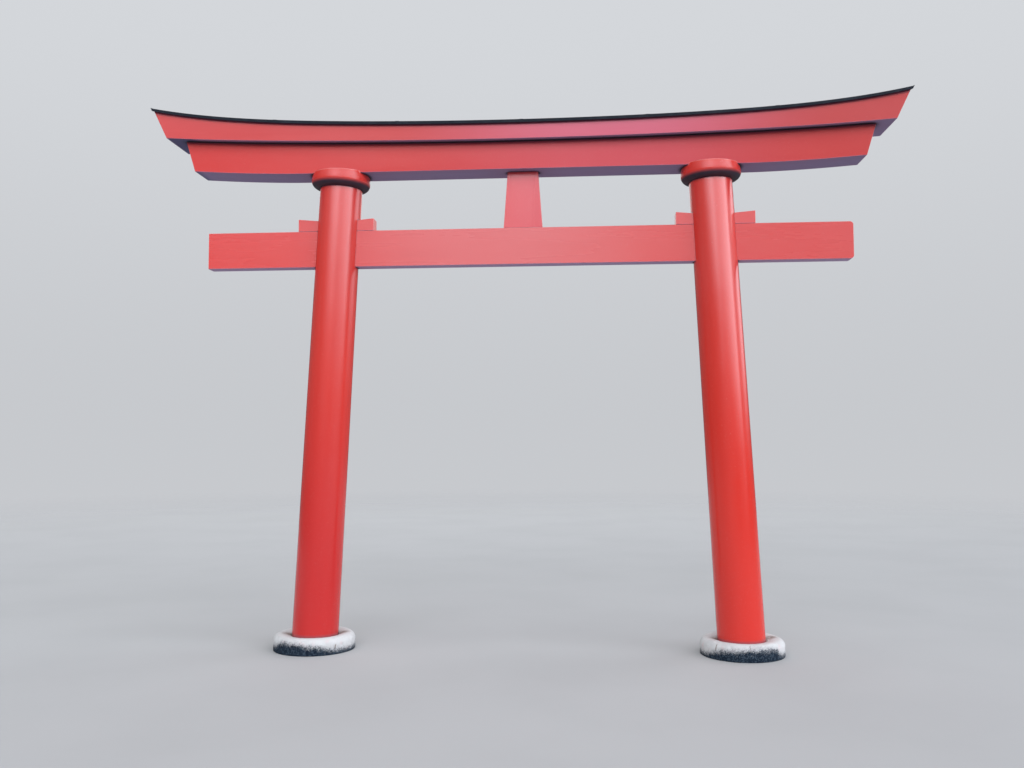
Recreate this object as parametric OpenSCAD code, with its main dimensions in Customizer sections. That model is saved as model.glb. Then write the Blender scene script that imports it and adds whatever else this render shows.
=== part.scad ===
// Torii gate of the myojin type: two leaning round posts on base stones, a tie beam held by wedges,
// a centre strut, and a curved double lintel under a dark metal roof.
// Millimetres, +Z up, +X to the right seen from the front (-Y). The origin lies on the ground,
// midway between the posts.

/* [Posts] */
// Distance between the two post axes at ground level
post_spacing = 3210; // [2800:10:3600]
// Diameter of a post at ground level
post_foot_d = 352; // [320:1:380]
// Diameter of a post where it meets the lower lintel
post_top_d = 325; // [300:1:350]
// Height of the posts, up to the underside of the lower lintel
post_h = 3633; // [3500:1:3900]
// Inward lean of each post, in degrees
post_lean = 2.9; // [0:0.01:4]
// Diameter of the round tenon on each post top
post_tenon_d = 130; // [80:1:160]
// Length of the round tenon on each post top
post_tenon_h = 110; // [60:1:140]

/* [Base stones] */
// Diameter of a base stone
stone_d = 617; // [560:1:700]
// Height of a base stone at its crest
stone_h = 122; // [80:1:140]
// Radius of the rounded shoulder of a base stone
stone_shoulder = 52; // [20:1:75]
// Radius of the curve by which a base stone's top dips from its crest to the post
stone_dip = 160; // [130:1:240]

/* [Capital rings] */
// Largest diameter of a capital ring
ring_d = 452; // [420:1:500]
// Height of the widest line of a capital ring below the lower lintel
ring_brow = 48; // [30:1:60]
// Radius of the quarter round under a capital ring
ring_round = 55; // [36:1:57]
// Radius of the gentle bulge of a capital ring's band
ring_bulge = 260; // [180:1:400]
// Height of a capital ring's rim in front of the lower lintel and behind it
ring_rim = 14; // [1:1:18]
// Distance of a capital ring's centre from the post's axis, towards the outside
ring_out = 6; // [0:1:8]

/* [Tie beam] */
// Length of the tie beam from end to end
beam_len = 4930; // [4200:1:5000]
// Height of the tie beam's section
beam_h = 281; // [220:1:300]
// Thickness of the tie beam's section
beam_t = 110; // [80:1:140]
// Height of the open bay between the tie beam and the lower lintel
bay_h = 437; // [380:1:600]
// Width of the bevel along the tie beam's edges
beam_bevel = 3; // [1:0.5:10]
// Radius of the corners at the tie beam's right end
beam_end_round = 26; // [10:1:60]

/* [Wedges] */
// Height of a wedge at its thick end
wedge_h = 96; // [80:1:110]
// Height of a wedge where it would reach the post's axis
wedge_tip_h = 70; // [50:1:78]
// Distance from the post's axis to the thick end of an outer wedge
outer_wedge_reach = 306; // [240:1:340]
// Distance from the post's axis to the thick end of an inner wedge
inner_wedge_reach = 285; // [240:1:340]
// Distance between the tips of the two wedges inside a post
wedge_tip_gap = 4; // [2:1:20]

/* [Centre strut] */
// Width of the centre strut at the tie beam
strut_foot_w = 298; // [200:1:340]
// Width of the centre strut at the lower lintel
strut_head_w = 234; // [180:1:300]
// Thickness of the centre strut
strut_t = 90; // [60:1:108]
// Width of the stub tenons of the centre strut
strut_tenon_w = 120; // [80:1:160]
// Thickness of the stub tenons of the centre strut
strut_tenon_t = 36; // [20:1:50]
// Length of the stub tenons of the centre strut
strut_tenon_h = 60; // [30:1:90]

/* [Lower lintel] */
// Length of the lower lintel along its underside
lower_len = 5112; // [4700:1:5200]
// Depth of the lower lintel from front to back
lower_depth = 260; // [220:1:300]
// Height of the lower lintel at its middle
lower_mid_h = 211; // [180:1:240]
// Rise of the lower lintel's underside from the capital rings to its ends
lower_end_rise = 38.8; // [0:0.1:60]
// Slant of the lower lintel's ends from the vertical, in degrees
lower_slant = 16.8; // [0:0.1:30]

/* [Upper lintel] */
// Length of the upper lintel along its underside
upper_len = 5512; // [5400:1:6000]
// Depth of the upper lintel from front to back
upper_depth = 410; // [330:1:480]
// Height of the upper lintel's front face at its middle
upper_mid_h = 124; // [80:1:150]
// Height of the upper lintel's front face at its ends
upper_end_h = 216.5; // [160:0.5:240]
// Rise of the upper lintel's underside from the middle to the ends
upper_rise = 72.7; // [20:0.1:120]
// Slant of the upper lintel's ends from the vertical, in degrees
upper_slant = 25.6; // [10:0.1:35]

/* [Roof] */
// Rise of the roof slope from the upper lintel's face to the ridge
roof_rise = 50; // [30:1:70]
// Thickness of the roof boards
board_t = 17; // [12:1:40]
// Overhang of the roof boards past the upper lintel's faces
eave_out = 24; // [10:1:45]
// Overhang of the roof boards past the upper lintel's ends
end_out = 6; // [3:1:30]
// Thickness of the roof sheets
sheet_t = 1.5; // [1:0.1:3]
// Depth of the sheets' folded edge below the boards
drip = 3; // [1:0.5:8]
// Width of the lapped seam between two sheets
seam_w = 28; // [16:1:40]
// Width of the ridge cap on each slope
cap_leg = 62; // [40:1:90]

/* [Fits] */
// Clearance between pieces that fit into or lie on each other
fit = 0.3; // [0.2:0.1:0.6]

/* [Hidden] */
$fn = 96;

vermilion = "#d2453a";
pale_stone = "#d9d6cc";
dark_metal = "#1c2028";

left = -1;
right = 1;
front = -1;
back = 1;
outward = 1;
inward = -1;

beam_top = post_h - bay_h;
beam_z = beam_top - beam_h;
upper_z = post_h + lower_mid_h;
lower_half = lower_len / 2;
upper_half = upper_len / 2;
wide = upper_len * 2;

// Posts: the cones run past their level cuts by this much
cut_over = 60;

// Lintel curves: share of each rise that follows a parabola, and the power of the upturn near the ends
under_parabola = 0.83;
face_parabola = 0.35;
upturn_power = 6;
curl_power = 1.7;
// Straight facets on each half of the upper lintel's curves and on each upturn of the lower one
facets = 36;
curl_facets = 14;
// The lower lintel stays flat this far past the capital rings
ring_margin = 45;

// Roof layers, as lifts above the sloping top of the upper lintel
board_low = fit;
board_high = board_low + board_t;
sheet_low = board_high + fit;
sheet_high = sheet_low + sheet_t;
seam_low = sheet_high + fit;
seam_high = seam_low + sheet_t;
cap_low = seam_high + fit;
cap_high = cap_low + sheet_t;
drip_low = board_low - drip;
eave_y = upper_depth / 2 + eave_out;
drip_y = eave_y + fit;
skin_y = drip_y + sheet_t;
ridge_y = fit / 2;
// Sheets along each slope, as many as NODES lists
sheet_count = 6;
// The seams end under the ridge cap, and each lap is this much smaller than the fold that carries it
seam_y = cap_leg / 2;
step = 0.1;

// Places along the lintel are given by u, from -1 at its left end to 1 at its right end
top_half = upper_half + upper_end_h * tan(upper_slant);
u_end = 1 + end_out / top_half;
u_fit = fit / 2 / top_half;
u_seam = seam_w / 2 / top_half;
u_edge = 2 * sheet_t / top_half;

function post_x(z) = post_spacing / 2 - z * tan(post_lean);

function post_d(z) = post_foot_d + (post_top_d - post_foot_d) * z / post_h;

function upturn(u, parabola) = parabola * pow(u, 2) + (1 - parabola) * pow(abs(u), upturn_power);

function under_z(u) = upper_z + upper_rise * upturn(u, under_parabola);

function face_h(u) = upper_mid_h + (upper_end_h - upper_mid_h) * upturn(u, face_parabola);

// Point of the upper lintel at u, with its height h above the curved underside
function lintel_point(u, y, h) = [u * (upper_half + h * tan(upper_slant)), y, under_z(u) + h];

// Point above the sloping top of the upper lintel
function slope_point(u, y, lift) =
    let (slope_h = roof_rise * (1 - abs(y) / (upper_depth / 2)))
    lintel_point(u, y, face_h(u) + slope_h + lift);

// The same point on the straight facet between two stations, so that all layers share their facets
function roof_point(u, y, lift) =
    let (i = floor(u * facets), t = u * facets - i)
    slope_point(i / facets, y, lift) * (1 - t) + slope_point((i + 1) / facets, y, lift) * t;

// Stations from one place to another, with every facet edge between them
function stations(from, to) = concat(
    [from],
    [for (i = [-facets - 1:facets + 1]) if (i / facets > from && i / facets < to) i / facets],
    [to]
);

// Height of the upper lintel's underside at a distance x from the middle, on its facets
function under_z_at(x) =
    let (i = floor(x / upper_half * facets), t = x / upper_half * facets - i)
    under_z(i / facets) * (1 - t) + under_z((i + 1) / facets) * t;

// Solid skinned over a row of rings of points. The first point of each ring sees all the others
module loft(rings) {
    n = len(rings[0]);
    last = len(rings) - 1;
    sides = [
        for (i = [0:last - 1], j = [0:n - 1])
            let (a = i * n + j, b = i * n + (j + 1) % n)
            each [[a, b + n, b], [a, a + n, b + n]]
    ];
    first_end = [for (j = [0:n - 1]) j];
    last_end = [for (j = [n:-1:1]) last * n + j % n];
    polyhedron(points = [for (ring = rings) each ring], faces = concat([first_end, last_end], sides));
}

// Strip of roofing: a cross-section of [y, lift] points carried along the roof
module roof_strip(from, to, section)
    loft([for (u = stations(from, to)) [for (p = section) roof_point(u, p.x, p.y)]]);

// Places its children in the frame of a post, with Z along the leaning axis
module on_post(side)
    translate([side * post_spacing / 2, 0, 0])
        rotate([0, -side * post_lean, 0])
            children();

module post_cone(from, to, grow = 0)
    translate([0, 0, from])
        cylinder(h = to - from, d1 = post_d(from) + 2 * grow, d2 = post_d(to) + 2 * grow);

module level_slab(from, to)
    translate([-wide / 2, -wide / 2, from])
        cube([wide, wide, to - from]);

// Plate along X and Z with its thickness centred on Y
module upright_plate(thickness)
    rotate([90, 0, 0])
        linear_extrude(thickness, center = true)
            children();

// Half section of a base stone: a rounded shoulder, and a top that dips towards the post
module stone_section() {
    crest_r = stone_d / 2 - stone_shoulder;
    square([stone_d / 2, stone_h - stone_shoulder]);
    translate([crest_r, stone_h - stone_shoulder])
        circle(stone_shoulder);
    intersection() {
        square([crest_r, stone_h]);
        translate([crest_r, stone_h - stone_dip])
            circle(stone_dip);
    }
}

module base_stone(side)
    color(pale_stone)
        difference() {
            translate([side * post_spacing / 2, 0, 0])
                rotate_extrude()
                    stone_section();
            on_post(side)
                post_cone(-cut_over, stone_h + cut_over, fit);
            level_slab(-wide, 0);
        }

module wedge_shape(side, way, reach, grow = 0) {
    tip = grow > 0 ? 0 : wedge_tip_gap / 2;
    tip_h = wedge_tip_h + (wedge_h - wedge_tip_h) * tip / reach;
    translate([side * post_x(beam_top), 0, beam_top])
        mirror([side * way > 0 ? 0 : 1, 0, 0])
            upright_plate(beam_t + 2 * grow)
                polygon([[tip, 0], [reach, 0], [reach, wedge_h + grow], [tip, tip_h + grow]]);
}

module mortise(side) {
    translate([side * post_x(beam_z) - post_foot_d, -beam_t / 2 - fit, beam_z])
        cube([2 * post_foot_d, beam_t + 2 * fit, beam_h + fit]);
    wedge_shape(side, outward, outer_wedge_reach, fit);
    wedge_shape(side, inward, inner_wedge_reach, fit);
}

module post(side)
    color(vermilion)
        difference() {
            union() {
                intersection() {
                    on_post(side)
                        post_cone(-cut_over, post_h + cut_over);
                    level_slab(0, post_h);
                }
                translate([side * post_x(post_h), 0, post_h - cut_over])
                    cylinder(h = cut_over + post_tenon_h, d = post_tenon_d);
            }
            mortise(side);
        }

// Half section of a capital ring, with its origin on the ring's axis at the lower lintel's underside
module ring_section() {
    ring_r = ring_d / 2;
    intersection() {
        translate([ring_r - ring_bulge, -ring_brow])
            circle(ring_bulge);
        translate([0, -ring_brow])
            square([ring_r, ring_brow + cut_over / 2]);
    }
    intersection() {
        translate([ring_r - ring_round, -ring_brow])
            circle(ring_round);
        translate([0, -ring_brow - ring_round])
            square([ring_r, ring_round]);
    }
    translate([0, -ring_brow - ring_round])
        square([ring_r - ring_round, ring_brow + ring_round + cut_over / 2]);
}

module capital_ring(side)
    color(vermilion)
        difference() {
            on_post(side)
                translate([side * ring_out, 0, post_h / cos(post_lean)])
                    rotate_extrude()
                        ring_section();
            on_post(side)
                post_cone(post_h - 4 * cut_over, post_h + 2 * cut_over, fit);
            level_slab(post_h + ring_rim, post_h + wide);
            translate([-wide / 2, -lower_depth / 2 - fit, post_h])
                cube([wide, lower_depth + 2 * fit, wide]);
        }

module beam_outline() {
    flat = beam_len - beam_end_round;
    translate([-beam_len / 2, beam_z])
        square([flat, beam_h]);
    translate([-beam_len / 2 + flat, beam_z + beam_end_round])
        square([beam_end_round, beam_h - 2 * beam_end_round]);
    for (z = [beam_z + beam_end_round, beam_top - beam_end_round])
        translate([-beam_len / 2 + flat, z])
            circle(beam_end_round);
}

module beam_section() {
    y = beam_t / 2;
    b = beam_bevel;
    polygon([
        [y - b, beam_z], [y, beam_z + b], [y, beam_top - b], [y - b, beam_top],
        [b - y, beam_top], [-y, beam_top - b], [-y, beam_z + b], [b - y, beam_z]
    ]);
}

// Stub tenons at both ends of the centre strut, or the mortises that take them
module strut_tenons(grow = 0)
    translate([-strut_tenon_w / 2 - grow, -strut_tenon_t / 2 - grow, beam_top - strut_tenon_h - grow])
        cube([
            strut_tenon_w + 2 * grow,
            strut_tenon_t + 2 * grow,
            post_h - beam_top + 2 * strut_tenon_h + 2 * grow
        ]);

module tie_beam()
    color(vermilion)
        difference() {
            intersection() {
                upright_plate(beam_t)
                    beam_outline();
                rotate([90, 0, 90])
                    linear_extrude(beam_len, center = true)
                        beam_section();
            }
            strut_tenons(fit);
        }

module wedge(side, way, reach)
    color(vermilion)
        wedge_shape(side, way, reach);

module centre_strut()
    color(vermilion) {
        upright_plate(strut_t)
            polygon([
                [-strut_foot_w / 2, beam_top], [strut_foot_w / 2, beam_top],
                [strut_head_w / 2, post_h], [-strut_head_w / 2, post_h]
            ]);
        strut_tenons();
    }

// Right half of the lower lintel's outline: along the underside, up the slanted end and back
// under the upper lintel
function lower_half_outline() =
    let (
        flat = post_x(post_h) + ring_d / 2 + ring_margin,
        end_z = post_h + lower_end_rise,
        reach_near = (under_z_at(lower_half) - end_z) * tan(lower_slant),
        top_x = lower_half + (under_z_at(lower_half + reach_near) - end_z) * tan(lower_slant),
        pitch = upper_half / facets
    )
    concat(
        [
            for (i = [0:curl_facets])
                let (t = i / curl_facets)
                [flat + (lower_half - flat) * t, post_h + lower_end_rise * pow(t, curl_power)]
        ],
        [[top_x, under_z_at(top_x) - fit]],
        [for (x = [floor(top_x / pitch) * pitch:-pitch:pitch / 2]) [x, under_z_at(x) - fit]]
    );

module lower_lintel()
    color(vermilion)
        difference() {
            upright_plate(lower_depth) {
                half = lower_half_outline();
                last = len(half) - 1;
                mirrored = [for (i = [last:-1:0]) [-half[i].x, half[i].y]];
                polygon(concat(half, [[0, upper_z - fit]], mirrored));
            }
            for (side = [left, right])
                translate([side * post_x(post_h), 0, post_h - cut_over])
                    cylinder(h = cut_over + post_tenon_h + fit, d = post_tenon_d + 2 * fit);
            strut_tenons(fit);
        }

module upper_lintel() {
    y = upper_depth / 2;
    color(vermilion)
        loft([
            for (i = [-facets:facets])
                let (u = i / facets, h = face_h(u))
                [
                    lintel_point(u, -y, 0), lintel_point(u, y, 0),
                    lintel_point(u, y, h), lintel_point(u, 0, h + roof_rise), lintel_point(u, -y, h)
                ]
        ]);
}

module roof_board(face)
    color(vermilion)
        mirror([0, face == front ? 0 : 1, 0])
            roof_strip(-u_end, u_end, [
                [-eave_y, board_low], [-ridge_y, board_low],
                [-ridge_y, board_high], [-eave_y, board_high]
            ]);

// Place of the joint after a given number of sheets
function joint(i) = u_end * (2 * i / sheet_count - 1);

module roof_sheet(face, i)
    color(dark_metal)
        mirror([0, face == front ? 0 : 1, 0]) {
            from = joint(i - 1) + (i > 1 ? u_fit : 0);
            to = joint(i) - (i < sheet_count ? u_fit : 0);
            roof_strip(from, to, [
                [-drip_y, sheet_low], [-ridge_y, sheet_low], [-ridge_y, sheet_high],
                [-skin_y, sheet_high], [-skin_y, drip_low], [-drip_y, drip_low]
            ]);
            if (i < sheet_count) {
                roof_strip(joint(i) - u_seam, to - u_fit, [
                    [-drip_y, sheet_high - sheet_t / 2], [-seam_y, sheet_high - sheet_t / 2],
                    [-seam_y, seam_high], [-drip_y, seam_high]
                ]);
                roof_strip(joint(i) - u_seam / 2, joint(i) + u_seam, [
                    [step - drip_y, seam_low], [-step - seam_y, seam_low],
                    [-step - seam_y, seam_high - step], [step - drip_y, seam_high - step]
                ]);
            }
        }

module roof_edge(side)
    color(dark_metal)
        mirror([side == right ? 0 : 1, 0, 0])
            roof_strip(u_end + u_fit, u_end + u_fit + u_edge, [
                [0, drip_low], [skin_y, drip_low], [skin_y, cap_high],
                [0, cap_high], [-skin_y, cap_high], [-skin_y, drip_low]
            ]);

module ridge_cap()
    color(dark_metal)
        roof_strip(-u_end, u_end, [
            [0, cap_low], [cap_leg, cap_low], [cap_leg, cap_high],
            [0, cap_high], [-cap_leg, cap_high], [-cap_leg, cap_low]
        ]);

base_stone(left);  // base_stone_left
base_stone(right);  // base_stone_right
post(left);  // post_left
post(right);  // post_right
capital_ring(left);  // capital_ring_left
capital_ring(right);  // capital_ring_right
tie_beam();
wedge(left, outward, outer_wedge_reach);  // wedge_left_outer
wedge(left, inward, inner_wedge_reach);  // wedge_left_inner
wedge(right, inward, inner_wedge_reach);  // wedge_right_inner
wedge(right, outward, outer_wedge_reach);  // wedge_right_outer
centre_strut();
lower_lintel();
upper_lintel();
roof_board(front);  // roof_board_front
roof_board(back);  // roof_board_back
roof_sheet(front, 1);  // roof_sheet_front_1
roof_sheet(front, 2);  // roof_sheet_front_2
roof_sheet(front, 3);  // roof_sheet_front_3
roof_sheet(front, 4);  // roof_sheet_front_4
roof_sheet(front, 5);  // roof_sheet_front_5
roof_sheet(front, 6);  // roof_sheet_front_6
roof_sheet(back, 1);  // roof_sheet_back_1
roof_sheet(back, 2);  // roof_sheet_back_2
roof_sheet(back, 3);  // roof_sheet_back_3
roof_sheet(back, 4);  // roof_sheet_back_4
roof_sheet(back, 5);  // roof_sheet_back_5
roof_sheet(back, 6);  // roof_sheet_back_6
roof_edge(left);  // roof_edge_left
roof_edge(right);  // roof_edge_right
ridge_cap();
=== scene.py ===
"""Looks of a torii gate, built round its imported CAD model: paint, stone, metal, light and camera."""

import math

import bmesh
import bpy
from mathutils import Matrix, Vector, noise


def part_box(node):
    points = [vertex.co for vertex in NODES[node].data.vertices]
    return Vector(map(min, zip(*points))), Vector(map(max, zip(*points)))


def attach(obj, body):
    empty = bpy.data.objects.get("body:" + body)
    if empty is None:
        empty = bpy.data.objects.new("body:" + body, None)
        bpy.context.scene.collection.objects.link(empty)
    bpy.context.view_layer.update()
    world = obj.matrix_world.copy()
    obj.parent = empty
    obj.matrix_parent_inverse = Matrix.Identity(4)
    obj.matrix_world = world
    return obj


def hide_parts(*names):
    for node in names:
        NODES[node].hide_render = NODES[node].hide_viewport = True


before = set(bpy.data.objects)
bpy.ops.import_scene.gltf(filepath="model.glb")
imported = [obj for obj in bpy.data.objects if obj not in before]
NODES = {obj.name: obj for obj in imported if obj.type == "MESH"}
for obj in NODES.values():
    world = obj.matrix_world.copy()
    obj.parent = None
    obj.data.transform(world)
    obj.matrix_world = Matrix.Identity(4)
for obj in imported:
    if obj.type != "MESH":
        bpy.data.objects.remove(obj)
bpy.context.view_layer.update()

# Camera: place in metres, angles in radians, lens and sensor in millimetres, reach in metres
CAMERA_PLACE = (0.4565, -7.2175, 1.556)
CAMERA_TURN = 0.0757
CAMERA_TILT = 0.06152
CAMERA_ROLL = -0.002516
CAMERA_LENS = 33.42
CAMERA_SENSOR = 36.0
CAMERA_REACH = 500.0

# A post's way inwards for each metre of height; then, in metres, the radii of its foot, of the base
# stones' shoulders and of the dip in their tops, and the gap between stone and post
POST_LEAN = math.tan(math.radians(2.9))
POST_FOOT_R = 0.176
STONE_SHOULDER = 0.052
STONE_DIP = 0.160
STONE_GAP = 0.0012

# Steps of a base stone's mesh: round it, up its side, over its shoulder, over its dipped top, over the
# part of that top which is open to wear, and down its hole
STONE_SEGMENTS = 256
SIDE_STEPS = 10
SHOULDER_STEPS = 26
TOP_STEPS = 16
WORN_TOP_STEPS = 12
HOLE_STEPS = 4

# Depths to which the stones are worn in broad hollows, in fine roughness and in chips, in metres, and
# the scale of the noise that each follows
WEAR_BROAD = 0.0035
WEAR_FINE = 0.0016
WEAR_CHIPS = 0.016
BROAD_SCALE = 7
FINE_SCALE = 38
CHIP_SCALE = 26
# Level over which noise makes a chip, and the share of a chip's depth that is left on a stone's top
CHIP_LEVEL = 0.34
TOP_CHIPS = 0.25

# Edges sharper than an angle are rounded by these radii, faces flatter than another one are merged,
# and points closer than the weld are joined, in metres and radians
TIMBER_EDGE = 0.0025
POST_EDGE = 0.0012
RING_EDGE = 0.0050
EDGE_ANGLE = math.radians(28)
FLAT_ANGLE = math.radians(0.05)
WELD = 2e-5

# Paint colours, linear
VERMILION = (0.580, 0.032, 0.022)
VERMILION_BEAM = (0.595, 0.032, 0.026)
VERMILION_WEDGE = (0.595, 0.052, 0.046)
VERMILION_DEEP = (0.440, 0.014, 0.012)
# Paint darkened towards the posts' feet: painted shade of the dark ground
VERMILION_FOOT_SHADE = (0.470, 0.004, 0.004)
# Brighter, redder paint low down towards the right: painted light
VERMILION_LIT = (0.640, 0.020, 0.006)
VERMILION_FADED = (0.600, 0.070, 0.064)
# The lintels' colours are the paint made darker: painted shade
VERMILION_LOWER = (0.560, 0.028, 0.023)
VERMILION_UPPER = (0.520, 0.035, 0.033)
# Paint darkened towards the right: painted shade
VERMILION_SHADE_RIGHT = (0.360, 0.020, 0.018)
# Pink laid on the paint round one place along X: a painted reflection of the bright sky
PAINTED_SHEEN = (0.600, 0.150, 0.255)
PAINTED_SHEEN_BEAM = (0.600, 0.214, 0.215)
# Colours of faces turned down, darker at the upper lintel's left end and on the rings: painted shade
UNDERSIDE = (0.230, 0.184, 0.316)
BEAM_UNDERSIDE = (0.350, 0.264, 0.430)
END_UNDERSIDE = (0.070, 0.084, 0.180)
RING_UNDERSIDE = (0.008, 0.008, 0.022)
# Colours of inner corners and of hidden faces near them: painted shade
CREASE = (0.130, 0.038, 0.066)
HIDDEN_CREASE = (0.008, 0.006, 0.016)
# Dark band at a post's foot where it meets the stone: painted contact shadow, with some soiling
FOOT_SHADE_AND_GRIME = (0.240, 0.070, 0.080)
# Pale colour of edges: partly rubbed paint, partly a painted highlight
EDGE_LIGHT = (0.700, 0.240, 0.220)
DUST = (0.500, 0.440, 0.390)

# Where the paint changes, from none of a colour to the most of it: heights and places along X, in metres
# Heights over which the posts darken towards the foot, painted shade
FOOT_HEIGHTS = (2.30, 0.30)
# Heights and places along X of the painted light low down on the right
LIT_HEIGHTS = (3.0, 0.8)
LIT_PLACES = (-1.0, 1.4)
# Heights of the painted contact shadow at the posts' feet
FOOT_SHADE_HEIGHTS = (0.134, 0.106)
# Places along X over which painted shade darkens the paint towards the right
RIGHT_SHADE_PLACES = (-3.4, 3.2)
# Places along X where faces turned down take the darker painted shade of the upper lintel's left end
END_PLACES = (-2.48, -2.58)
# Distances along X from the place of the painted sheen between which it fades, the outer one first
PAINTED_SHEEN_DISTANCES = (1.70, 0.20)
# Heights above which painted shade lies in the inner corners of the posts and of the lower lintel, and the
# rise over which it comes in
POST_CORNER_SHADE_FROM = 0.6
LINTEL_CORNER_SHADE_FROM = 3.68
CORNER_SHADE_RISE = 0.05

# Stone colours, linear
STONE_WHITE = (0.545, 0.550, 0.540)
STONE_GREY = (0.330, 0.335, 0.345)
# Colour of the dark band at the stones' feet: moss, tinted blue by painted shade
STONE_MOSS_AND_SHADE = (0.005, 0.012, 0.023)
STONE_GREEN = (0.036, 0.054, 0.074)
STONE_PINK = (0.600, 0.430, 0.420)
STONE_BROWN = (0.150, 0.100, 0.070)

# Height in metres of the dark band round the base stones' feet at each bearing, in degrees from the front
# towards the right: moss, with painted shade from the ground in its bluish tint and in its thin strip all
# round the foot
GROWTH_AND_SHADE_LEFT = (
    (-180, 0.055), (-100, 0.035), (-60, 0.046), (-50, 0.056), (-38, 0.087), (-22, 0.090), (-10, 0.086),
    (0, 0.076), (10, 0.070), (20, 0.064), (32, 0.048), (50, 0.035), (120, 0.030), (180, 0.055)
)
GROWTH_AND_SHADE_RIGHT = (
    (-180, 0.055), (-110, 0.030), (-62, 0.032), (-50, 0.054), (-38, 0.070), (-20, 0.074), (-2, 0.086),
    (32, 0.088), (42, 0.082), (50, 0.044), (60, 0.032), (120, 0.035), (180, 0.055)
)
# A height above all of these; how far the band's edge is shaken, runs in drips and is feathered; and the
# depths below it between which the band and haze come in and bare spots go out, in metres
GROWTH_AND_SHADE_TOP = 0.2
GROWTH_AND_SHADE_SHAKE = 0.050
GROWTH_AND_SHADE_DRIP = 0.030
GROWTH_AND_SHADE_FEATHER = 0.130
SOIL_AND_SHADE_DEPTHS = (-0.016, 0.022)
HAZE_DEPTHS = (-0.034, 0.004)
BARE_DEPTHS = (0.020, 0.055)

# Brown patches on the base stones, in the dips beside the post, partly staining and partly painted shade of
# the
# dips: the places of two on each, and the distances from them between which they fade, in metres
STAINS_AND_SHADE_LEFT = ((-1.395, 0.03, 0.10), (-1.795, -0.04, 0.09))
STAINS_AND_SHADE_RIGHT = ((1.815, 0.03, 0.10), (1.412, -0.02, 0.09))
STAIN_AND_SHADE_RADII = (0.018, 0.075)

# Cracks in the base stones: angle in degrees from +X towards +Y, and heights between which each runs
CRACKS_LEFT = ((-44, 0.034, 0.078),)
CRACKS_RIGHT = ((-136, 0.05, 0.112), (-88, 0.06, 0.120))
# Distances from a crack's middle between which it fades, and from the stone's axis between which it
# begins; the length over which it tapers out above and below; and how far it wanders, in metres
CRACK_WIDTHS = (0.0010, 0.0070)
CRACK_BEGINS = (0.17, 0.23)
CRACK_TAPER = 0.012
CRACK_WANDER = 0.030

# Metal colours, linear
METAL = (0.008, 0.011, 0.017)
METAL_WORN = (0.030, 0.037, 0.050)
METAL_DUST = (0.150, 0.150, 0.148)

# Floor: its colour, its radius, how far it lies below the part and the distances between which it
# fades into the backdrop, in metres
FLOOR = (0.410, 0.412, 0.405)
FLOOR_RADIUS = 32.0
FLOOR_DROP = 0.0005
FLOOR_FADE = (7.0, 26.0)

# Light from above and from the sides, and the pale backdrop behind all. Each changes from its low
# colour to its high one between two heights, given as sines
SKY_LOW = (0.190, 0.195, 0.205)
SKY_HIGH = (0.680, 0.710, 0.760)
SKY_HEIGHTS = (0.12, 0.80)
BACKDROP_LOW = (0.570, 0.585, 0.612)
BACKDROP_HIGH = (0.660, 0.680, 0.710)
BACKDROP_HEIGHTS = (0.0, 0.45)

# Bright sky in front: its glow at each bearing, in degrees from the front towards the right, and the
# heights, as sines, between which it comes up over the horizon, sooner on the right, and dies away
# overhead
GLOW_BEARINGS = (
    (-180, 0.0), (-72, 0.0), (-48, 0.12), (-34, 0.42), (-18, 0.72), (-3, 0.88), (5, 0.68), (12, 0.52),
    (24, 0.52), (42, 0.68), (58, 0.84), (68, 1.0), (76, 0.95), (80, 0.20), (98, 0.20), (106, 0.50),
    (124, 0.50), (136, 0.10), (150, 0.0), (180, 0.0)
)
GLOW = 4.9
GLOW_TINT = (0.95, 0.98, 1.08)
GLOW_RISE = (0.10, 0.24)
GLOW_SLANT = 0.08
GLOW_DEATH = (0.54, 0.80)

# Softboxes: place, width, height, brightness as seen, and whether the gate mirrors them. All face one
# point of the gate
SOFTBOXES = {
    "back": ((-3.0, 16.0, 10.0), 20.0, 8.0, 0.9, True),
    "left": ((-12.0, -4.5, 5.0), 3.0, 4.0, 5.0, False),
}
LIT_POINT = (0.0, 0.0, 2.2)


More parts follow.
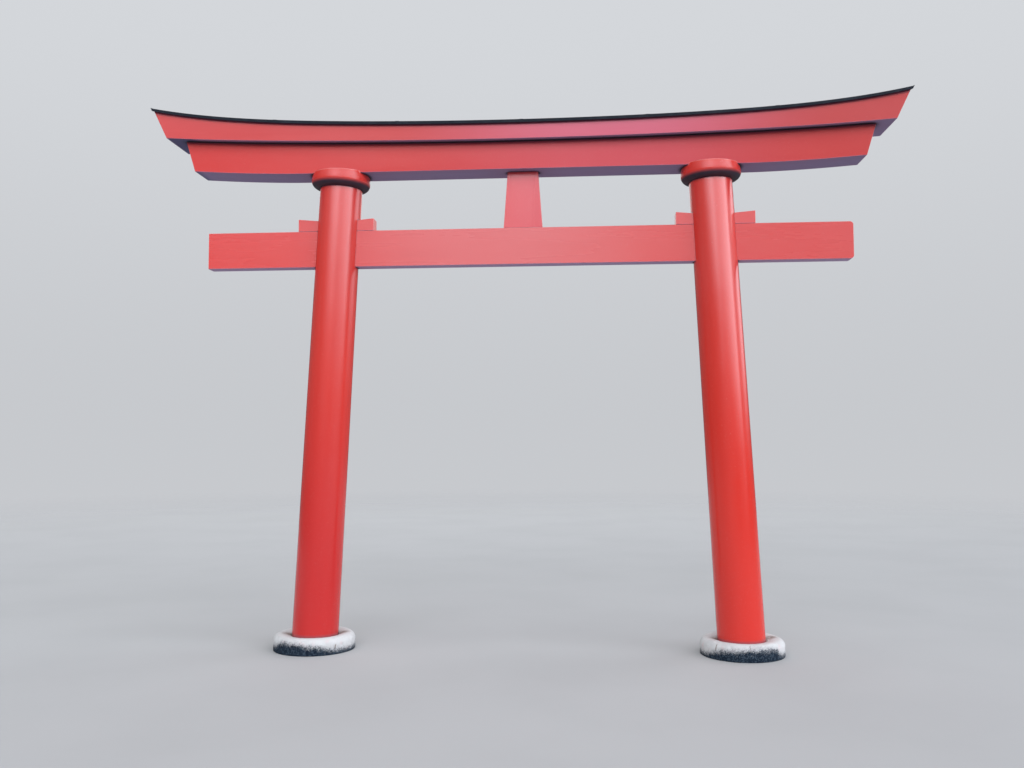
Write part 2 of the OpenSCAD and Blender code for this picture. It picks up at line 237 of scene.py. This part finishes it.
class Nodes:
    """A node tree. Each method adds what it names and returns the result's socket."""

    def __init__(self, tree):
        self.tree = tree

    def add(self, kind, **settings):
        node = self.tree.nodes.new(kind)
        for key, value in settings.items():
            setattr(node, key, value)
        return node

    def feed(self, socket, value):
        """Links a socket to another one, or sets its number or colour."""
        if isinstance(value, bpy.types.NodeSocket):
            self.tree.links.new(value, socket)
        elif socket.type == "RGBA":
            socket.default_value = (*value, 1.0)
        else:
            socket.default_value = value

    def math(self, operation, a, b=0.0):
        node = self.add("ShaderNodeMath", operation=operation)
        self.feed(node.inputs[0], a)
        self.feed(node.inputs[1], b)
        return node.outputs[0]

    def vector(self, operation, a, b, result=0):
        node = self.add("ShaderNodeVectorMath", operation=operation)
        self.feed(node.inputs[0], a)
        self.feed(node.inputs[1], b)
        return node.outputs[result]

    def part(self, vector, axis):
        split = self.add("ShaderNodeSeparateXYZ")
        self.feed(split.inputs[0], vector)
        return split.outputs[axis]

    def fade(self, value, low, high, start=0.0, end=1.0):
        """Smooth step of a value, from start at low to end at high."""
        node = self.add("ShaderNodeMapRange", interpolation_type="SMOOTHSTEP")
        for key, number in zip(range(5), (value, low, high, start, end)):
            self.feed(node.inputs[key], number)
        return node.outputs["Result"]

    def mix(self, a, b, share, **settings):
        """Mixes two colours, by the mix node's colour sockets, 6, 7 and 2."""
        node = self.add("ShaderNodeMix", data_type="RGBA", **settings)
        self.feed(node.inputs[0], share)
        self.feed(node.inputs[6], a)
        self.feed(node.inputs[7], b)
        return node.outputs[2]

    def around(self, arm, rows, scale=1.0):
        """Value, up to scale, at a vector's bearing, from rows of bearing and value, the first at -180."""
        bearing = self.math("ARCTAN2", self.part(arm, "X"), self.math("MULTIPLY", self.part(arm, "Y"), -1.0))
        ramp = self.add("ShaderNodeValToRGB")
        (first, *others), stops = rows, ramp.color_ramp.elements
        stops.remove(stops[1])
        stops[0].color = (*(first[1] / scale,) * 3, 1.0)
        for degrees, value in others:
            stops.new(degrees / 360 + 0.5).color = (*(value / scale,) * 3, 1.0)
        turn = self.math("ADD", self.math("MULTIPLY", bearing, 0.5 / math.pi), 0.5)
        self.feed(ramp.inputs[0], turn)
        return self.math("MULTIPLY", ramp.outputs[0], scale)


class Look(Nodes):
    """A material's node tree, with what it knows of the surface."""

    def __init__(self, name):
        self.material = bpy.data.materials.new(name)
        self.material.use_nodes = True
        super().__init__(self.material.node_tree)
        self.shader = self.tree.nodes["Principled BSDF"]
        self.place = self.add("ShaderNodeTexCoord").outputs["Object"]

    def noise(self, scale, detail=3.0, rough=0.5, stretch=None):
        node = self.add("ShaderNodeTexNoise")
        place = self.vector("MULTIPLY", self.place, stretch) if stretch else self.place
        self.feed(node.inputs["Vector"], place)
        for key, value in {"Scale": scale, "Detail": detail, "Roughness": rough}.items():
            self.feed(node.inputs[key], value)
        return node.outputs["Fac"]

    def cells(self, scale):
        node = self.add("ShaderNodeTexVoronoi")
        self.feed(node.inputs["Vector"], self.place)
        self.feed(node.inputs["Scale"], scale)
        return node.outputs["Distance"]

    def normal(self):
        return self.add("ShaderNodeNewGeometry").outputs["Normal"]

    def facing_up(self):
        return self.part(self.normal(), "Z")

    def rounded(self, radius):
        """The surface's normal, as it would be with its sharp edges rounded."""
        bevel = self.add("ShaderNodeBevel", samples=4)
        self.feed(bevel.inputs["Radius"], radius)
        return bevel.outputs["Normal"]

    def edges(self, radius):
        """1 along sharp outer edges, 0 elsewhere."""
        turned = self.vector("DOT_PRODUCT", self.rounded(radius), self.normal(), "Value")
        return self.fade(turned, 0.995, 0.90)

    def crevice(self, reach, hidden=0.0):
        """1 in inner corners, falling to 0 within reach of them, and more slowly on hidden faces: the mask
        of painted corner shade.
        """
        shade = self.add("ShaderNodeAmbientOcclusion", samples=8)
        self.feed(shade.inputs["Distance"], reach)
        deep = self.math("MULTIPLY", self.fade(shade.outputs["AO"], 0.97, 0.74), hidden)
        return self.math("MAXIMUM", self.fade(shade.outputs["AO"], 0.74, 0.52), deep)

    def bump(self, height, strength, distance, below=None):
        node = self.add("ShaderNodeBump")
        self.feed(node.inputs["Strength"], strength)
        self.feed(node.inputs["Distance"], distance)
        self.feed(node.inputs["Height"], height)
        if below:
            self.feed(node.inputs["Normal"], below)
        return node.outputs["Normal"]

    def finish(self, **inputs):
        for key, value in inputs.items():
            self.feed(self.shader.inputs[key.replace("_", " ").title().replace("Ior", "IOR")], value)
        return self.material


def paint(
    name, grain, base=VERMILION, roughness=0.24, shine=0.5, sheen=0.25, sheen_colour=PAINTED_SHEEN, peak=0.65, right_shade=0.2,
    wear_and_highlight=0.75, reach=0.05, corner_shade_from=-1.0, deep=1.0, under=UNDERSIDE, turned=(-0.60, -0.92), edge=0.007,
    arris=0.016
):
    """Vermilion paint brushed along the grain, a vector that is small along the timber.

    roughness is that of its smoothest patches and shine its specular level. sheen is how far a pink painted
    reflection, of colour sheen_colour, covers it round the place peak along X, right_shade how far painted
    shade darkens it towards the right, and wear_and_highlight how pale its edges are, edge wide, partly
    rubbed and partly a painted highlight. Painted shade spreads by reach from inner corners above the height
    corner_shade_from, and on hidden faces, where it goes further by deep. Between the two slopes of turned,
    taken round edges of radius arris, the paint gives way to the painted shade of the underside.
    """
    look = Look(name)
    along = look.part(look.place, "X")
    height = look.part(look.place, "Z")
    broad = look.noise(0.9, detail=4.0, rough=0.5)
    patches = look.noise(4.5, detail=5.0, rough=0.55, stretch=grain)
    brush = look.noise(38.0, detail=4.0, rough=0.62, stretch=grain)

    colour = look.mix(base, VERMILION_FADED, look.fade(broad, 0.40, 0.72, 0.0, 0.30))
    colour = look.mix(colour, VERMILION_DEEP, look.fade(patches, 0.48, 0.76, 0.0, 0.35))
    colour = look.mix(colour, VERMILION_FADED, look.fade(brush, 0.52, 0.80, 0.0, 0.20))
    # Painted shade: darker towards the foot
    colour = look.mix(colour, VERMILION_FOOT_SHADE, look.fade(height, *FOOT_HEIGHTS, 0.0, 0.90))
    # Painted light: brighter, redder paint low down towards the right
    painted_light = look.fade(along, *LIT_PLACES, 0.0, 0.65)
    painted_light = look.math("MULTIPLY", look.fade(height, *LIT_HEIGHTS), painted_light)
    colour = look.mix(colour, VERMILION_LIT, painted_light)
    # Painted contact shadow, with some soiling, at the post's foot
    colour = look.mix(colour, FOOT_SHADE_AND_GRIME, look.fade(height, *FOOT_SHADE_HEIGHTS, 0.0, 0.75))
    # Painted shade: darker towards the right
    colour = look.mix(colour, VERMILION_SHADE_RIGHT, look.fade(along, *RIGHT_SHADE_PLACES, 0.0, right_shade))
    # Painted reflection: pink round the place peak along X
    away = look.math("ABSOLUTE", look.math("SUBTRACT", along, peak))
    colour = look.mix(colour, sheen_colour, look.fade(away, *PAINTED_SHEEN_DISTANCES, 0.0, sheen))

    specks = look.fade(look.noise(210.0, detail=1.0), 0.70, 0.78, 0.0, 0.22)
    colour = look.mix(colour, DUST, specks)
    level = look.fade(look.facing_up(), 0.55, 0.95)
    settled = look.math("MULTIPLY", level, look.fade(patches, 0.30, 0.62, 0.20, 0.65))
    colour = look.mix(colour, DUST, settled)
    # Pale edges: partly rubbed paint, partly a painted highlight
    worn = look.math("MULTIPLY", look.edges(edge), look.fade(patches, 0.30, 0.55, 0.5 * wear_and_highlight, wear_and_highlight))
    colour = look.mix(colour, EDGE_LIGHT, worn)

    # Faces turned down take the painted shade of the underside
    hidden = look.fade(look.part(look.rounded(arris), "Z"), *turned)
    underside_shade = look.math("MULTIPLY", hidden, look.fade(patches, 0.25, 0.70, 1.0, 0.95))
    under = look.mix(under, END_UNDERSIDE, look.fade(along, *END_PLACES))
    colour = look.mix(colour, under, underside_shade)
    # Painted shade in inner corners and on hidden faces
    above = look.fade(height, corner_shade_from, corner_shade_from + CORNER_SHADE_RISE)
    spread = look.crevice(reach, look.math("MULTIPLY", hidden, deep))
    corner_shade = look.math("MULTIPLY", spread, look.math("MAXIMUM", above, hidden))
    colour = look.mix(colour, look.mix(CREASE, HIDDEN_CREASE, hidden), corner_shade)

    rough = look.fade(patches, 0.35, 0.70, roughness, roughness + 0.08)
    rough = look.math("ADD", rough, look.math("MULTIPLY", settled, 0.35))
    rough = look.math("ADD", rough, look.math("MULTIPLY", hidden, 0.50))
    normal = look.bump(broad, 0.20, 0.020)
    normal = look.bump(brush, 0.20, 0.0008, normal)
    normal = look.bump(look.noise(150.0, detail=2.0), 0.08, 0.0004, normal)
    return look.finish(base_color=colour, roughness=rough, normal=normal, specular_ior_level=shine)


def crack(look, arm, height, angle, low, high):
    """A thin wandering line at an angle round the stone, between two heights."""
    a = math.radians(angle)
    across = look.vector("DOT_PRODUCT", arm, (-math.sin(a), math.cos(a), 0.0), "Value")
    along = look.vector("DOT_PRODUCT", arm, (math.cos(a), math.sin(a), 0.0), "Value")
    wander = look.math("SUBTRACT", look.noise(24.0, detail=4.0), 0.5)
    wander = look.math("MULTIPLY", wander, CRACK_WANDER)
    gap = look.math("ABSOLUTE", look.math("ADD", across, wander))
    dark = look.math("MULTIPLY", look.fade(gap, *CRACK_WIDTHS, 1.0, 0.0), look.fade(along, *CRACK_BEGINS))
    dark = look.math("MULTIPLY", dark, look.fade(height, low, low + CRACK_TAPER))
    return look.math("MULTIPLY", dark, look.fade(height, high, high - CRACK_TAPER))


def stone(name, centre_x, growth_and_shade, stain_and_shade_masks, cracks):
    """White stone with a dark band of moss round its foot that also carries painted shade from the ground,
    brown patches beside the post that are partly staining and partly painted shade of its dips, painted
    contact shade near the post, and cracks at given angles.
    """
    look = Look(name)
    arm = look.vector("SUBTRACT", look.place, (centre_x, 0.0, 0.0))
    height = look.part(look.place, "Z")
    cloud = look.noise(7.0, detail=5.0, rough=0.6)
    ragged = look.noise(34.0, detail=6.0, rough=0.68)
    grain = look.noise(260.0, detail=2.0)
    drips = look.noise(48.0, detail=5.0, rough=0.65, stretch=(1.0, 1.0, 0.35))

    colour = look.mix(STONE_WHITE, STONE_GREY, look.fade(cloud, 0.45, 0.80, 0.0, 0.45))
    colour = look.mix(colour, STONE_GREY, look.fade(grain, 0.55, 0.75, 0.0, 0.40))
    rosy = look.fade(look.noise(19.0, detail=4.0), 0.56, 0.72)
    pink = look.math("MULTIPLY", rosy, look.fade(look.facing_up(), 0.97, 0.60, 0.0, 0.40))
    colour = look.mix(colour, STONE_PINK, pink)
    # Brown patches beside the post: partly staining, partly painted shade of the dips
    near = look.math("MINIMUM", *(look.vector("DISTANCE", look.place, spot, "Value") for spot in stain_and_shade_masks))
    patchy = look.fade(ragged, 0.30, 0.60, 0.45, 1.0)
    stain_and_shade_mask = look.math("MULTIPLY", look.fade(near, *STAIN_AND_SHADE_RADII, 0.85, 0.0), patchy)
    colour = look.mix(colour, STONE_BROWN, stain_and_shade_mask)
    lines = 0.0
    for row in cracks:
        lines = look.math("MAXIMUM", lines, crack(look, arm, height, *row))
    colour = look.mix(colour, STONE_BROWN, look.math("MULTIPLY", lines, 0.80))

    # The dark band round the foot: moss, with painted shade from the ground
    shake = look.math("MULTIPLY", look.math("SUBTRACT", ragged, 0.5), GROWTH_AND_SHADE_SHAKE)
    drip = look.math("MULTIPLY", look.math("SUBTRACT", drips, 0.5), GROWTH_AND_SHADE_DRIP)
    top = look.math("ADD", look.around(arm, growth_and_shade, GROWTH_AND_SHADE_TOP), look.math("ADD", shake, drip))
    below = look.math("SUBTRACT", top, height)
    feather = look.math("SUBTRACT", look.noise(170.0, detail=4.0, rough=0.7), 0.5)
    feather = look.math("MULTIPLY", feather, GROWTH_AND_SHADE_FEATHER)
    soil_and_shade = look.fade(look.math("ADD", below, feather), *SOIL_AND_SHADE_DEPTHS)
    haze = look.fade(below, *HAZE_DEPTHS, 0.0, 0.45)
    dark = look.mix(STONE_MOSS_AND_SHADE, STONE_GREEN, look.fade(look.noise(90.0, detail=3.0), 0.44, 0.66))
    bare = look.fade(look.noise(70.0, detail=3.0, rough=0.6), 0.60, 0.68, 0.0, 0.45)
    bare = look.math("MULTIPLY", bare, look.fade(below, *BARE_DEPTHS, 1.0, 0.0))
    dark = look.mix(dark, STONE_GREY, bare)
    # Painted contact shade, brown, in the corners near the post
    colour = look.mix(colour, STONE_BROWN, look.math("MULTIPLY", look.crevice(0.05), 0.35))
    colour = look.mix(colour, STONE_GREY, haze)
    colour = look.mix(colour, dark, soil_and_shade)

    rough = look.fade(grain, 0.30, 0.70, 0.62, 0.86)
    normal = look.bump(ragged, 0.45, 0.004)
    normal = look.bump(look.cells(120.0), 0.30, 0.0012, normal)
    normal = look.bump(look.math("MULTIPLY", lines, -1.0), 0.7, 0.002, normal)
    normal = look.bump(look.math("MULTIPLY", soil_and_shade, ragged), 0.6, 0.004, normal)
    shine = look.fade(soil_and_shade, 0.0, 1.0, 0.50, 0.12)
    return look.finish(base_color=colour, roughness=rough, normal=normal, specular_ior_level=shine)


def metal():
    """Dark painted sheet metal with dust, faint runs down the slope and a slow wave in each sheet."""
    look = Look("dark_roof_metal")
    wave = look.noise(2.2, detail=2.0, stretch=(1.0, 2.0, 1.0))
    runs = look.noise(16.0, detail=3.0, rough=0.5, stretch=(1.0, 0.07, 0.07))
    fine = look.noise(120.0, detail=3.0)
    colour = look.mix(METAL, METAL_WORN, look.fade(runs, 0.40, 0.70, 0.0, 0.28))
    level = look.fade(look.facing_up(), 0.60, 0.98)
    dust = look.math("MULTIPLY", level, look.fade(runs, 0.35, 0.70, 0.04, 0.09))
    colour = look.mix(colour, METAL_DUST, dust)
    colour = look.mix(colour, METAL_WORN, look.math("MULTIPLY", look.edges(0.004), 0.55))
    rough = look.math("ADD", look.fade(fine, 0.30, 0.70, 0.42, 0.52), look.math("MULTIPLY", dust, 0.6))
    normal = look.bump(wave, 0.30, 0.020)
    normal = look.bump(fine, 0.15, 0.0005, normal)
    return look.finish(base_color=colour, roughness=rough, normal=normal, specular_ior_level=0.10)


def floor_look():
    """Pale floor that fades into the backdrop all round."""
    look = Look("pale_floor")
    clouds = look.fade(look.noise(0.7, detail=4.0), 0.35, 0.70)
    colour = look.mix(FLOOR, tuple(0.96 * c for c in FLOOR), clouds)
    look.finish(base_color=colour, roughness=0.85)
    distance = look.vector("LENGTH", look.place, (0.0, 0.0, 0.0), "Value")
    blend = look.add("ShaderNodeMixShader")
    look.feed(blend.inputs[0], look.fade(distance, *FLOOR_FADE))
    look.feed(blend.inputs[1], look.shader.outputs[0])
    look.feed(blend.inputs[2], look.add("ShaderNodeBsdfTransparent").outputs[0])
    look.feed(look.tree.nodes["Material Output"].inputs["Surface"], blend.outputs[0])
    return look.material


def smoothing():
    """Node group that welds a CAD mesh's split points and shades it smooth between its sharp edges."""
    group = bpy.data.node_groups.new("weld_and_smooth", "GeometryNodeTree")
    for way in ("INPUT", "OUTPUT"):
        group.interface.new_socket("Geometry", in_out=way, socket_type="NodeSocketGeometry")
    source = group.nodes.new("NodeGroupInput")
    weld = group.nodes.new("GeometryNodeMergeByDistance")
    weld.inputs["Distance"].default_value = WELD
    angle = group.nodes.new("GeometryNodeInputMeshEdgeAngle")
    sharp = group.nodes.new("FunctionNodeCompare")
    sharp.operation = "GREATER_THAN"
    sharp.inputs["B"].default_value = EDGE_ANGLE
    shade = group.nodes.new("GeometryNodeSetMeshNormal")
    shade.mode = "SHARPNESS"
    shade.inputs["Remove Custom"].default_value = True
    result = group.nodes.new("NodeGroupOutput")
    link = group.links.new
    link(source.outputs[0], weld.inputs["Geometry"])
    link(weld.outputs[0], shade.inputs["Mesh"])
    link(angle.outputs["Unsigned Angle"], sharp.inputs["A"])
    link(sharp.outputs[0], shade.inputs["Edge Sharpness"])
    link(shade.outputs[0], result.inputs[0])
    return group


def dress(name, material, edge, group):
    """Gives a CAD node its material, welds it, and rounds its sharp edges unless it is thin sheet."""
    node = NODES[name]
    node.data.materials.clear()
    node.data.materials.append(material)
    weld = node.modifiers.new("weld", "NODES")
    weld.node_group = group
    if not edge:
        return
    flat = node.modifiers.new("merge_flat_faces", "DECIMATE")
    flat.decimate_type = "DISSOLVE"
    flat.angle_limit = FLAT_ANGLE
    bevel = node.modifiers.new("rounded_edges", "BEVEL")
    bevel.width = edge
    bevel.segments = 3
    bevel.limit_method = "ANGLE"
    bevel.angle_limit = EDGE_ANGLE
    bevel.use_clamp_overlap = True
    bevel.harden_normals = True


def dress_frame():
    """Dresses all CAD nodes but the base stones, which finer ones replace."""
    group = smoothing()
    along_x = (0.10, 1.0, 1.0)
    along_z = (1.0, 1.0, 0.08)
    even = (1.0, 1.0, 1.0)
    posts = paint(
        "vermilion_posts", along_z, roughness=0.17, shine=0.78, sheen=0.0, reach=0.03,
        corner_shade_from=POST_CORNER_SHADE_FROM, right_shade=0.0
    )
    rings = paint(
        "vermilion_rings", even, roughness=0.20, sheen=0.0, wear_and_highlight=1.0, reach=0.02, under=RING_UNDERSIDE,
        turned=(-0.02, -0.62), edge=0.012, arris=0.001, right_shade=0.0
    )
    beam = paint(
        "vermilion_beams", along_x, VERMILION_BEAM, roughness=0.26, sheen=0.36, reach=0.012,
        under=BEAM_UNDERSIDE, peak=-0.26, sheen_colour=PAINTED_SHEEN_BEAM
    )
    wedges = paint(
        "vermilion_wedges", along_x, VERMILION_WEDGE, roughness=0.26, sheen=0.05, reach=0.012,
        under=BEAM_UNDERSIDE, right_shade=0.10, peak=-0.26, sheen_colour=PAINTED_SHEEN_BEAM
    )
    strut = paint(
        "vermilion_strut", along_z, VERMILION_BEAM, shine=0.55, sheen=0.16, reach=0.02, under=BEAM_UNDERSIDE
    )
    lower = paint(
        "vermilion_lower_lintel", along_x, VERMILION_LOWER, roughness=0.30, shine=0.28, sheen=0.14,
        reach=0.065, corner_shade_from=LINTEL_CORNER_SHADE_FROM, deep=0.0, right_shade=0.47
    )
    upper, boards = (
        paint(
            name, along_x, VERMILION_UPPER, roughness=0.30, shine=0.34, sheen=0.46, reach=reach, right_shade=0.55
        )
        for name, reach in (("vermilion_upper_lintel", 0.06), ("vermilion_boards", 0.16))
    )
    roof = metal()
    looks = {
        "post_": (posts, POST_EDGE),
        "capital_ring_": (rings, RING_EDGE),
        "tie_beam": (beam, TIMBER_EDGE),
        "wedge_": (wedges, TIMBER_EDGE),
        "centre_strut": (strut, TIMBER_EDGE),
        "lower_lintel": (lower, TIMBER_EDGE),
        "upper_lintel": (upper, TIMBER_EDGE),
        "roof_board_": (boards, TIMBER_EDGE),
        "roof_sheet_": (roof, 0.0),
        "roof_edge_": (roof, 0.0),
        "ridge_cap": (roof, 0.0),
    }
    for node in NODES:
        for start, (material, edge) in looks.items():
            if node.startswith(start):
                dress(node, material, edge, group)


def in_scene(name, mesh, material):
    """Turns a bmesh into an object of the scene, and returns it."""
    data = bpy.data.meshes.new(name)
    mesh.to_mesh(data)
    mesh.free()
    data.materials.append(material)
    piece = bpy.data.objects.new(name, data)
    bpy.context.scene.collection.objects.link(piece)
    return piece


def arc(centre, radius, start, end, count):
    """Points of an arc in the plane of a profile, angles in degrees."""
    angles = [math.radians(start + (end - start) * i / count) for i in range(count + 1)]
    return [(centre[0] + radius * math.cos(a), centre[1] + radius * math.sin(a)) for a in angles]


def line(start, end, count):
    """Points between two ends, both left out."""
    return [tuple(a + (b - a) * i / count for a, b in zip(start, end)) for i in range(1, count)]


def wear_depth(spot, seed, chipping):
    """Depth to which a base stone is worn at a spot; chipping is the share of a chip's depth there."""
    broad = 0.5 + 0.5 * noise.noise(spot * BROAD_SCALE + seed)
    fine = 0.5 + 0.5 * noise.fractal(spot * FINE_SCALE + seed, 0.8, 2.1, 4)
    chip = max(0.0, noise.noise(spot * CHIP_SCALE - seed) - CHIP_LEVEL) * chipping
    return WEAR_BROAD * broad + WEAR_FINE * fine + WEAR_CHIPS * chip


def base_stone(side, word, growth_and_shade, stain_and_shade_masks, cracks):
    """A finer base stone: a revolved profile round the leaning post, worn inwards only."""
    node = "base_stone_" + word
    low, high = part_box(node)
    radius, height = (high.x - low.x) / 2, high.z
    centre_x = (low.x + high.x) / 2
    crest = radius - STONE_SHOULDER
    hole = POST_FOOT_R + STONE_GAP
    profile = [(radius, 0.0)]
    profile += line((radius, 0.0), (radius, height - STONE_SHOULDER), SIDE_STEPS)
    profile += arc((crest, height - STONE_SHOULDER), STONE_SHOULDER, 0, 90, SHOULDER_STEPS)
    open_to_wear = len(profile) + WORN_TOP_STEPS
    turn = math.degrees(math.asin((crest - hole) / STONE_DIP))
    profile += arc((crest, height - STONE_DIP), STONE_DIP, 90, 90 + turn, TOP_STEPS)[1:]
    profile += line(profile[-1], (hole, 0.0), HOLE_STEPS) + [(hole, 0.0)]

    mesh = bmesh.new()
    rings = []
    seed = Vector((11.0 * side, 3.0, 7.0))
    for i, (r, z) in enumerate(profile):
        inner = max(0.0, min(1.0, (crest - r) / (crest - hole)))
        shift = -side * z * POST_LEAN * inner
        before, after = profile[max(i - 1, 0)], profile[min(i + 1, len(profile) - 1)]
        out = Vector((after[1] - before[1], before[0] - after[0])).normalized()
        chipping = 1.0 if r > crest else TOP_CHIPS
        ring = []
        for s in range(STONE_SEGMENTS):
            a = 2 * math.pi * s / STONE_SEGMENTS
            spot = Vector((r * math.cos(a), r * math.sin(a), z))
            depth = wear_depth(spot, seed, chipping) if i < open_to_wear else 0.0
            rr, zz = r - out.x * depth, max(0.0, z - out.y * depth)
            ring.append(mesh.verts.new((centre_x + shift + rr * math.cos(a), rr * math.sin(a), zz)))
        rings.append(ring)
    rings.append(rings[0])
    for one, two in zip(rings, rings[1:]):
        for s in range(STONE_SEGMENTS):
            t = (s + 1) % STONE_SEGMENTS
            mesh.faces.new((one[s], one[t], two[t], two[s]))
    bmesh.ops.recalc_face_normals(mesh, faces=mesh.faces)

    material = stone(word + "_stone", centre_x, growth_and_shade, stain_and_shade_masks, cracks)
    piece = in_scene("worn_" + node, mesh, material)
    piece.data.shade_smooth()
    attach(piece, "root")
    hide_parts(node)


def camera():
    """The photo's view."""
    data = bpy.data.cameras.new("camera")
    data.lens = CAMERA_LENS
    data.sensor_width = CAMERA_SENSOR
    data.clip_end = CAMERA_REACH
    view = bpy.data.objects.new("camera", data)
    turn = Matrix.Rotation(CAMERA_TURN, 4, "Z")
    tilt = Matrix.Rotation(math.pi / 2 + CAMERA_TILT, 4, "X")
    roll = Matrix.Rotation(CAMERA_ROLL, 4, "Z")
    view.matrix_world = Matrix.Translation(CAMERA_PLACE) @ turn @ tilt @ roll
    bpy.context.scene.collection.objects.link(view)
    bpy.context.scene.camera = view


def softbox(name, place, width, height, glow, mirrored):
    """A rectangular light that faces the lit point; glow is its brightness as seen."""
    light = bpy.data.lights.new(name, "AREA")
    light.shape = "RECTANGLE"
    light.size = width
    light.size_y = height
    light.energy = glow * math.pi * width * height
    lamp = bpy.data.objects.new(name, light)
    lamp.location = place
    lamp.rotation_euler = (Vector(LIT_POINT) - Vector(place)).to_track_quat("-Z", "Y").to_euler()
    lamp.visible_camera = False
    lamp.visible_glossy = mirrored
    bpy.context.scene.collection.objects.link(lamp)


def studio_sky():
    """Soft light from above and bands of glow in front, with a pale backdrop in view."""
    world = bpy.data.worlds.new("studio_sky")
    world.use_nodes = True
    sky = Nodes(world.node_tree)
    way = sky.add("ShaderNodeTexCoord").outputs["Generated"]
    height = sky.part(way, "Z")

    slanted = sky.math("ADD", height, sky.math("MULTIPLY", sky.part(way, "X"), GLOW_SLANT))
    glow = sky.math("MULTIPLY", sky.around(way, GLOW_BEARINGS), GLOW)
    glow = sky.math("MULTIPLY", glow, sky.fade(slanted, *GLOW_RISE))
    glow = sky.math("MULTIPLY", glow, sky.math("SUBTRACT", 1.0, sky.fade(height, *GLOW_DEATH)))
    light = sky.mix(SKY_LOW, SKY_HIGH, sky.fade(height, *SKY_HEIGHTS))
    light = sky.mix(light, GLOW_TINT, glow, blend_type="ADD", clamp_factor=False)

    backdrop = sky.mix(BACKDROP_LOW, BACKDROP_HIGH, sky.fade(height, *BACKDROP_HEIGHTS))
    in_view = sky.add("ShaderNodeLightPath").outputs["Is Camera Ray"]
    sky.feed(sky.tree.nodes["Background"].inputs["Color"], sky.mix(light, backdrop, in_view))
    return world


def stage():
    """Pale floor, sky and softboxes."""
    mesh = bmesh.new()
    bmesh.ops.create_circle(mesh, cap_ends=True, segments=128, radius=FLOOR_RADIUS)
    floor = in_scene("floor", mesh, floor_look())
    floor.location.z = -FLOOR_DROP

    bpy.context.scene.world = studio_sky()
    bpy.context.scene.view_settings.view_transform = "Standard"
    for name, settings in SOFTBOXES.items():
        softbox(name, *settings)


dress_frame()
base_stone(-1, "left", GROWTH_AND_SHADE_LEFT, STAINS_AND_SHADE_LEFT, CRACKS_LEFT)
base_stone(1, "right", GROWTH_AND_SHADE_RIGHT, STAINS_AND_SHADE_RIGHT, CRACKS_RIGHT)
camera()
stage()
